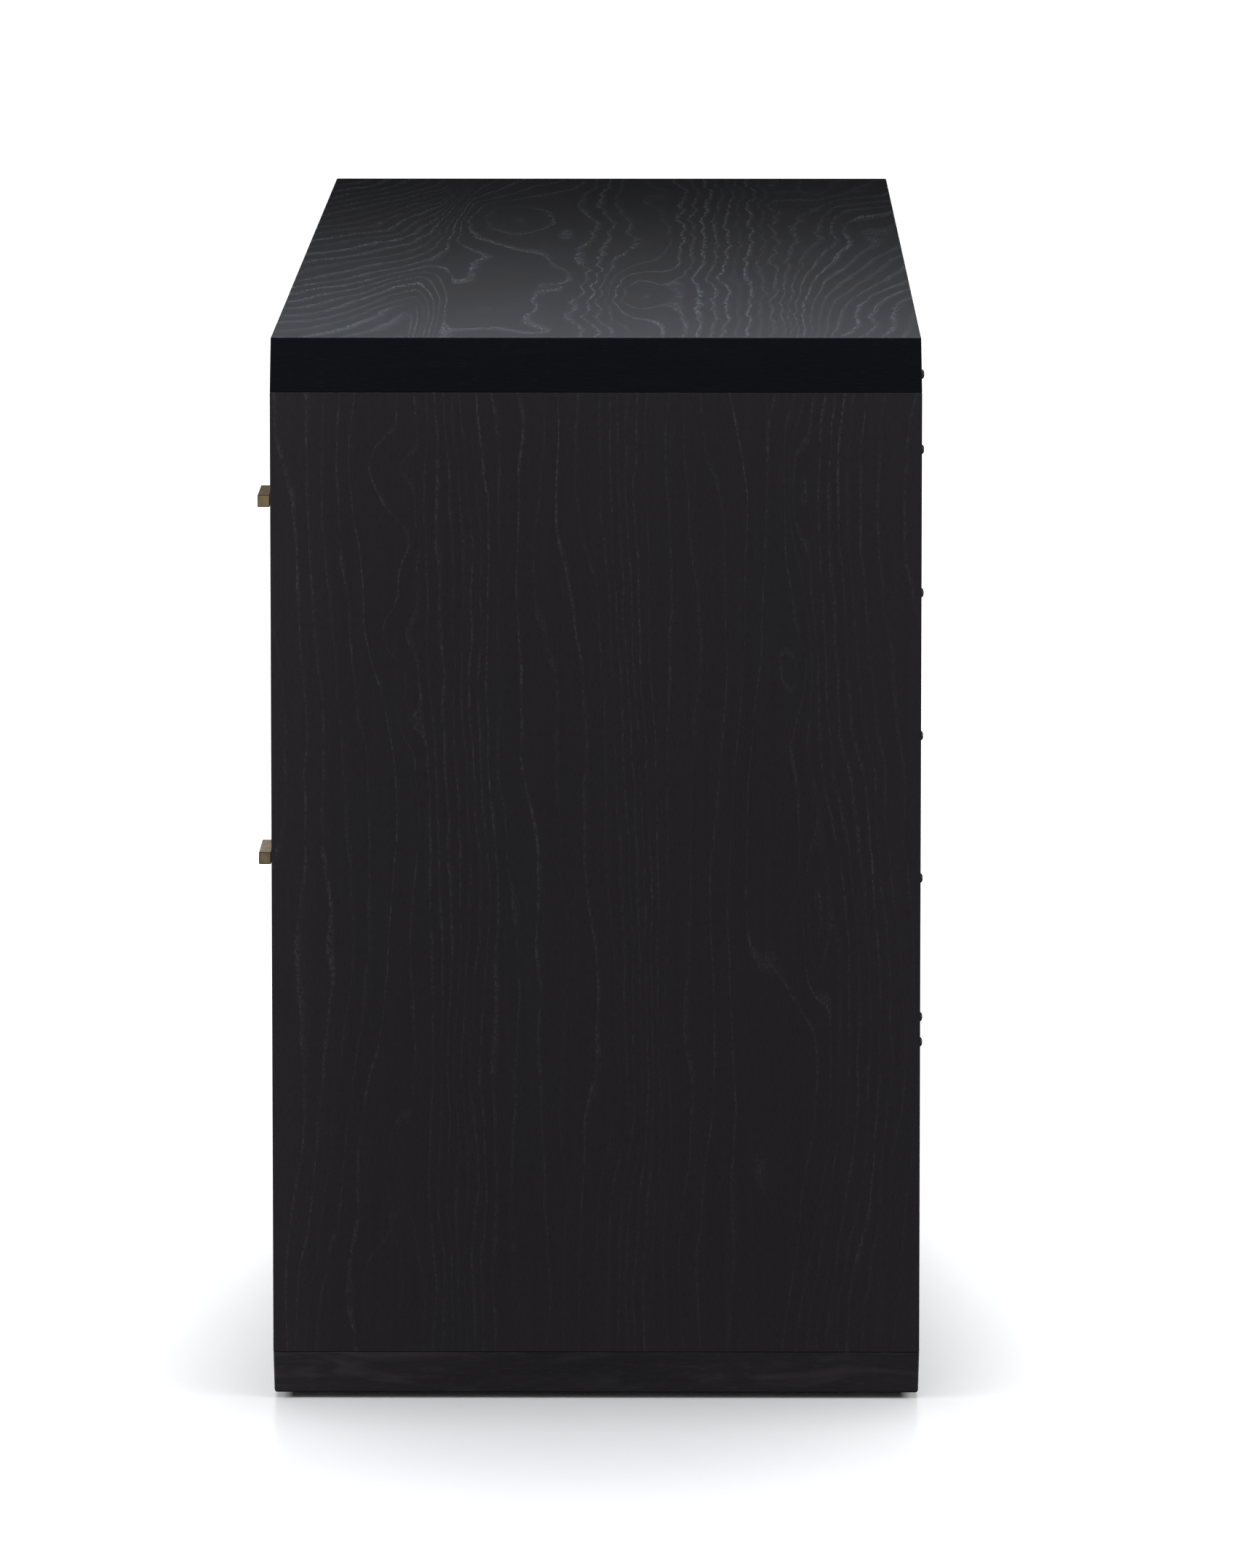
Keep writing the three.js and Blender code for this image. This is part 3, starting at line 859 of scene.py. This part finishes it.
def scatter(name, mesh, places, axis, finish, body):
    """One piece made of a copy of mesh at each place, facing axis and turned by a random angle."""
    chance = random.Random(name)
    face = Vector((0, 0, 1)).rotation_difference(Vector(axis)).to_matrix().to_4x4()

    def build(bm):
        for spot in places:
            turn = Matrix.Rotation(chance.uniform(0, math.pi / 2), 4, "Z")
            copy = mesh.copy()
            copy.transform(Matrix.Translation(Vector(spot)) @ face @ turn)
            bm.from_mesh(copy)
            bpy.data.meshes.remove(copy)

    return smooth(shown(name, build, (finish,), body))


PAN_HEAD = screw_head("pan_head", radius=3.5 * MM, height=2.2 * MM, recess=1.5 * MM)
SMALL_HEAD = screw_head("small_head", radius=3.2 * MM, height=1.6 * MM, recess=1.1 * MM)


def make_back_screws():
    """Proud screws down both ends and the middle and along the top, and sunk ones lower down."""
    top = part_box("top_slab")[1].z
    inset, sink, rise = 6 * MM, 1.7 * MM, 8 * MM
    proud_drops = (29, 85, 192, 299, 406, 510.5, 529.5)  # millimetres down from the top
    sunk_drops = (610, 715)
    ends = (BACK_LOW.x + inset, BACK_HIGH.x - inset)
    across = [ends[0] + (ends[1] - ends[0]) * i / 8 for i in range(1, 8)]

    def rows(places, drops, depth=0.0):
        return [(x, BACK_HIGH.y - depth, top - drop * MM) for drop in drops for x in places]

    proud = rows(ends, proud_drops) + rows(across, proud_drops[:1]) + rows((0.0,), proud_drops[2:6])
    scatter("back_screws", PAN_HEAD, proud, (0, 1, 0), "black_steel", "case")
    sunk = rows(ends, sunk_drops, sink) + [(x, BACK_HIGH.y - sink, BACK_LOW.z + rise) for x in across]
    scatter("back_sunk_screws", PAN_HEAD, sunk, (0, 1, 0), "black_steel", "case")


make_back_screws()


# ---- glides

def make_glides():
    """Low nylon glides, each with a dished middle round its nail."""
    dish = 1.5 * MM
    for row in ("front", "rear"):
        for end in ENDS:
            node = f"{row}_{end}_glide"
            low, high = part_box(node)
            centre = ((low.x + high.x) / 2, (low.y + high.y) / 2, 0.0)
            radius = (high.x - low.x) / 2
            profile = [(0.0, dish), (0.27 * radius, dish), (0.34 * radius, 0.2 * MM), (0.36 * radius, 0.0)]
            profile += [(radius - 1.2 * MM, 0.0), (radius - 0.4 * MM, 0.35 * MM), (radius, 1.2 * MM)]
            profile += [(radius, high.z), (0.0, high.z)]

            def build(bm):
                add_lathe(bm, profile, centre, (0, 0, 1), steps=40)

            smooth(shown(f"{node}_pad", build, ("nylon",), "case", (node,)))


make_glides()


# ---- drawers

PIN_NARROW = 8 * MM
PIN_WIDE = 12 * MM
PIN_PITCH = 46 * MM


def pin_spans(low, high):
    """(middle, low, high) of each dovetail pin up a board's corner. The end ones are half pins."""
    count = max(2, round((high - low) / PIN_PITCH))
    step = (high - low) / count
    return [(low + i * step, low, high) for i in range(count + 1)]


def edges_of(pin, width):
    """Where a pin of this width starts and stops, cut off at the board's edges."""
    middle, low, high = pin
    return max(low, middle - width / 2), min(high, middle + width / 2)


def side_outline(low, high, front_pins, rear_pins, thick):
    """A drawer side seen from its face, with the sockets that the pins of the front and back fill."""
    outline = []
    for pins, y, inward in ((front_pins, low.y, thick), (rear_pins, high.y, -thick)):
        run = []
        for pin in pins:
            narrow = edges_of(pin, PIN_NARROW)
            wide = edges_of(pin, PIN_WIDE)
            run += [(y, narrow[0]), (y + inward, wide[0]), (y + inward, wide[1]), (y, narrow[1])]
        run = run[1:-1]
        if pins is rear_pins:
            if pins[0][1] > low.z + MM:
                run = [(y, low.z), (y, pins[0][1])] + run
            run.reverse()
        outline += run
    return outline


def comb_outline(x_low, x_high, reach, pins, width):
    """A drawer front or back seen from its face, with its pins standing out at both ends."""
    left = []
    for pin in pins:
        start, stop = edges_of(pin, width)
        left += [(x_low, start), (x_low - reach, start), (x_low - reach, stop), (x_low, stop)]
    left = left[1:-1]
    return left + [(x_low + x_high - x, z) for x, z in reversed(left)]


def make_box(drawer):
    """The open box: dovetailed sides, front and back, and a plywood bottom."""
    body = f"{drawer}_drawer"
    front_low, front_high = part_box(f"{drawer}_box_front")
    back_low, back_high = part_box(f"{drawer}_box_back")
    thick = front_high.y - front_low.y
    front_pins = pin_spans(front_low.z, front_high.z)
    rear_pins = pin_spans(back_low.z, back_high.z)
    for end in ENDS:
        node = f"{drawer}_box_{end}"
        low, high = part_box(node)

        def side(bm):
            add_prism(bm, side_outline(low, high, front_pins, rear_pins, thick), low.x, high.x, "x")

        piece = shown(f"{node}_side", side, ("box_y",), body, (node,))
        round_edges(piece, BOX_ROUND, 2)
    for name, low, high, pins, outer in (
        ("front", front_low, front_high, front_pins, front_low.y),
        ("back", back_low, back_high, rear_pins, back_high.y),
    ):
        inner = low.y + high.y - outer
        node = f"{drawer}_box_{name}"

        def comb(bm):
            slim = comb_outline(low.x, high.x, thick, pins, PIN_NARROW)
            stout = comb_outline(low.x, high.x, thick, pins, PIN_WIDE)
            add_loft(bm, [(x, outer, z) for x, z in slim], [(x, inner, z) for x, z in stout])

        piece = shown(f"{node}_board", comb, ("box_x",), body, (node,))
        round_edges(piece, BOX_ROUND, 2)
    board(f"{drawer}_box_bottom_ply", f"{drawer}_box_bottom", ("box_x", "ply"), body,
          PLY_ROUND, face_finish=first_facing("z"))


def front_faces(normal):
    """The figured veneer in front, black edges, and the plain veneer behind."""
    if abs(normal.y) < FACING:
        return 1
    return 0 if normal.y < 0 else 2


def make_front(drawer):
    """The applied front, its fixing screws and its pull."""
    body = f"{drawer}_drawer"
    board(f"{drawer}_front_oak", f"{drawer}_front", ("front", "edge", "inside"), body,
          FRONT_ROUND, face_finish=front_faces)
    low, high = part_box(f"{drawer}_box_front")
    bar_low, bar_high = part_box(f"{drawer}_pull_bar")
    pull_x, pull_z = (bar_low.x + bar_high.x) / 2, (bar_low.z + bar_high.z) / 2
    margin_x, margin_z = 60 * MM, 45 * MM
    heads = [(x, high.y, z) for x in (low.x + margin_x, high.x - margin_x)
             for z in (low.z + margin_z, high.z - margin_z)]
    heads.append((pull_x, high.y, pull_z))
    scatter(f"{drawer}_front_screws", PAN_HEAD, heads, (0, 1, 0), "steel", body)
    bar = board(f"{drawer}_pull_bar_brass", f"{drawer}_pull_bar", ("bar", "arris"), body, BAR_ROUND)
    # The second finish paints shade and reflection on the bar's rounded edges.
    bar.modifiers["edges"].material = 1  # the rounded edges take the second finish
    node = f"{drawer}_pull_post"
    post_low, post_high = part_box(node)
    radius, length = (post_high.x - post_low.x) / 2, post_high.y - post_low.y
    flare, collar, cove = 0.6 * MM, 0.6 * MM, 1.5 * MM
    profile = [(0.0, 0.0), (radius + flare, 0.0), (radius + flare, collar)]
    profile += [(radius + flare * (1 - s), collar + cove * (1 - c)) for c, s in quarter_turn(5)]
    profile += [(radius, length), (0.0, length)]

    def post(bm):
        add_lathe(bm, profile, (pull_x, post_high.y, pull_z), (0, -1, 0), steps=32)

    smooth(shown(f"{node}_brass", post, ("post",), body, (node,)))


# ---- slides

GAUGE = 1.3 * MM


def channel_outline(wall, inward, z, height, flange):
    """A pressed channel seen from its end: its web on the plane x = wall and flanges going inward."""
    foot = -height / 2
    inside = foot + GAUGE
    nose = flange - GAUGE / 2
    bend = 1.1 * MM
    points = [(0, foot + bend), (bend, foot), (nose, foot), (flange, foot + GAUGE / 2)]
    points += [(nose, inside), (GAUGE + bend, inside), (GAUGE, inside + bend)]
    mirrored = [(u, -v) for u, v in reversed(points)]
    return [(wall + inward * u, z + v) for u, v in points + mirrored]


def make_slide(drawer, end):
    """The case channel, the drawer's runner inside it, its ball cage and the screws."""
    inward = 1 if end == "left" else -1
    out_low, out_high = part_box(f"{drawer}_channel_{end}")
    run_low, run_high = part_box(f"{drawer}_runner_{end}")
    z = (out_low.z + out_high.z) / 2
    wall = out_low.x if end == "left" else out_high.x
    side = run_high.x if end == "left" else run_low.x
    flange = out_high.x - out_low.x
    members = (
        ("channel", wall, inward, out_low, out_high, "case", (0.12, 0.5, 0.88)),
        ("runner", side, -inward, run_low, run_high, f"{drawer}_drawer", (0.2, 0.55, 0.9)),
    )
    for kind, plane, toward, low, high, body, shares in members:
        node = f"{drawer}_{kind}_{end}"

        def build(bm):
            outline = channel_outline(plane, toward, z, high.z - low.z, flange)
            add_prism(bm, outline, low.y, high.y, "y")

        piece = shown(f"{node}_steel", build, ("steel",), body, (node,))
        round_edges(piece, STEEL_ROUND, 1)
        spots = [(plane + toward * GAUGE, low.y + share * (high.y - low.y), z) for share in shares]
        scatter(f"{node}_screws", SMALL_HEAD, spots, (toward, 0, 0), "steel", body)

    room = (out_high.z - run_high.z - GAUGE) / 2  # between the two races, halved
    ball_radius = 0.98 * room
    race = run_high.z + room
    first, pitch, count = out_low.y + 10 * MM, 9 * MM, 8
    middle_x = wall + inward * 6.2 * MM

    def balls(bm):
        for height in (race, 2 * z - race):
            for i in range(count):
                spot = Matrix.Translation((middle_x, first + i * pitch, height))
                bmesh.ops.create_icosphere(bm, subdivisions=2, radius=ball_radius, matrix=spot)

    def cage(bm):
        apart, tall, half_gauge, overhang = 0.45 * room, 0.86 * room, 0.3 * MM, 6 * MM
        last = first + (count - 1) * pitch
        for height in (race, 2 * z - race):
            for x in (middle_x - apart, middle_x + apart):
                low = (x - half_gauge, first - overhang, height - tall)
                high = (x + half_gauge, last + overhang, height + tall)
                add_box(bm, low, high)

    smooth(shown(f"{drawer}_balls_{end}", balls, ("ball",), "case"), 180)
    shown(f"{drawer}_ball_cage_{end}", cage, ("nylon",), "case")


for drawer in DRAWERS:
    make_box(drawer)
    make_front(drawer)
    for end in ENDS:
        make_slide(drawer, end)


# ---- floor and light

def make_floor():
    """A plain pale floor that runs out of sight, with its glow dimmed round the dresser's foot and in front
    of its right-hand end, and cut off under it, as painted shadow.
    """
    mesh = bpy.data.meshes.new("floor")
    reach = 60.0
    corners = [(-reach, -reach, 0), (reach, -reach, 0), (reach, reach, 0), (-reach, reach, 0)]
    mesh.from_pydata(corners, [], [(0, 1, 2, 3)])
    dark_x, squash = 0.75, 1.7  # the dark oval's middle, and how much narrower it is front to rear
    foot_y, half_foot_y = 0.012, 0.2315  # the foot's middle and half depth
    edge = 0.004  # half the width over which the glow starts round the foot

    def paint(graph):
        x, y, z = graph.place()
        fine = graph.noise(graph.vector(x, y, z), scale=30.0, detail=3.0)
        reach_out = graph.vector(graph.minus(x, dark_x), graph.times(y, squash), 0.0)
        away = graph.add("ShaderNodeVectorMath", {0: reach_out}, operation="LENGTH").outputs["Value"]
        # Painted shadow: an oval of dimmed glow in front of the right-hand end.
        painted_shadow_oval = graph.span(away, 0.1, 1.3, 0.30, 1.06, smooth=True)
        past_end = graph.minus(graph.math("ABSOLUTE", x), cad_high.x)
        past_side = graph.minus(graph.math("ABSOLUTE", graph.minus(y, foot_y)), half_foot_y)
        beyond = graph.math("MAXIMUM", past_end, past_side)
        # Painted shadow: the glow is dimmed near the foot and cut off under it.
        rim = graph.span(beyond, 0.0, 0.14, 0.70, 1.0)
        glow = graph.times(graph.times(painted_shadow_oval, rim), graph.span(beyond, -edge, edge))
        graph.surface(Base_Color=(0.875, 0.862, 0.848, 1.0),
                      Roughness=graph.span(fine, 0.3, 0.7, 0.28, 0.30),
                      Emission_Color=(1.0, 1.0, 1.0, 1.0), Emission_Strength=glow)

    mesh.materials.append(material("floor_paint", paint))
    floor = added("floor", mesh)
    floor.visible_diffuse = False
    floor.visible_glossy = False
    return floor


def area_light(name, place, aim, size, power, colour=(1.0, 1.0, 1.0)):
    """A rectangular soft light at place, facing aim."""
    lamp = bpy.data.lights.new(name, "AREA")
    lamp.shape = "RECTANGLE"
    lamp.size, lamp.size_y = size
    lamp.energy = power
    lamp.color = colour
    light = added(name, lamp)
    light.location = place
    light.rotation_euler = (Vector(aim) - Vector(place)).to_track_quat("-Z", "Y").to_euler()
    light.visible_camera = False
    return light


def make_lights(floor):
    """Light from overhead and the right for all, fills for the dresser only, a backdrop for the floor."""
    core = (0.0, 0.0, 0.4)
    right_end = (0.8, 0.0, 0.4)
    area_light("overhead", (0.60, 0.0, 1.7), (0.60, 0.0, 0.0), (1.0, 1.0), 32.5, (0.90, 0.96, 1.04))
    area_light("right_fill", (6.0, 0.0, 0.9), right_end, (3.0, 1.6), 16.0)
    area_light("right_high", (5.0, -1.0, 3.5), right_end, (2.5, 2.5), 25.0)
    fills = (
        area_light("front_fill", (0.4, -5.0, 1.3), core, (3.0, 1.6), 150.0),
        area_light("rear_fill", (0.4, 5.0, 1.3), core, (3.0, 1.6), 130.0),
        area_light("left_fill", (-4.5, 0.0, 0.42), (0.0, 0.0, 0.42), (4.0, 0.6), 120.0),
    )
    backdrop = area_light("backdrop", (-9.0, 0.0, 2.5), (0.0, 0.0, 2.5), (24.0, 5.0), 245.0)
    floor_only = bpy.data.collections.new("floor_only")
    floor_only.objects.link(floor)
    backdrop.light_linking.receiver_collection = floor_only
    all_but_floor = bpy.data.collections.new("all_but_floor")
    all_but_floor.objects.link(floor)
    all_but_floor.collection_objects[0].light_linking.link_state = "EXCLUDE"
    for fill in fills:
        fill.light_linking.receiver_collection = all_but_floor


def make_world():
    """White to the camera, and as light a low grey that is dim overhead and behind the left end."""
    world = bpy.data.worlds.new("studio")
    world.use_nodes = True
    scene.world = world
    graph = Graph(world.node_tree)
    seen = graph.add("ShaderNodeLightPath").outputs["Is Camera Ray"]
    heading = graph.add("ShaderNodeTexCoord").outputs["Generated"]
    split = graph.add("ShaderNodeSeparateXYZ", {0: heading})
    sideways = graph.span(split.outputs[0], -0.3, 0.4, 0.015, 0.45, smooth=True)
    level = graph.times(sideways, graph.span(split.outputs[2], 0.45, 0.8, 1.0, 0.12, smooth=True))
    black, tinted, white = (0.0, 0.0, 0.0, 1.0), (1.0, 0.97, 0.99, 1.0), (1.0, 1.0, 1.0, 1.0)
    ambient = graph.tint(seen, graph.tint(level, black, tinted), white)
    glow = graph.add("ShaderNodeBackground", {"Color": ambient})
    end = graph.add("ShaderNodeOutputWorld")
    world.node_tree.links.new(glow.outputs[0], end.inputs[0])


def make_camera():
    """Looks square on at the right-hand end from a long way off and a little above."""
    camera_data = bpy.data.cameras.new("camera")
    camera_data.lens = 262.4
    camera_data.sensor_width = 36.0
    camera_data.clip_end = 200.0
    camera = added("camera", camera_data)
    camera.location = (9.213, 0.085, 1.544)
    yaw = math.radians(-0.339)
    pitch = math.radians(7.308)
    forward = Vector((-math.cos(yaw) * math.cos(pitch), math.sin(yaw) * math.cos(pitch), -math.sin(pitch)))
    camera.rotation_euler = forward.to_track_quat("-Z", "Y").to_euler()
    scene.camera = camera


make_world()
make_camera()
make_lights(make_floor())
scene.view_settings.view_transform = "Standard"
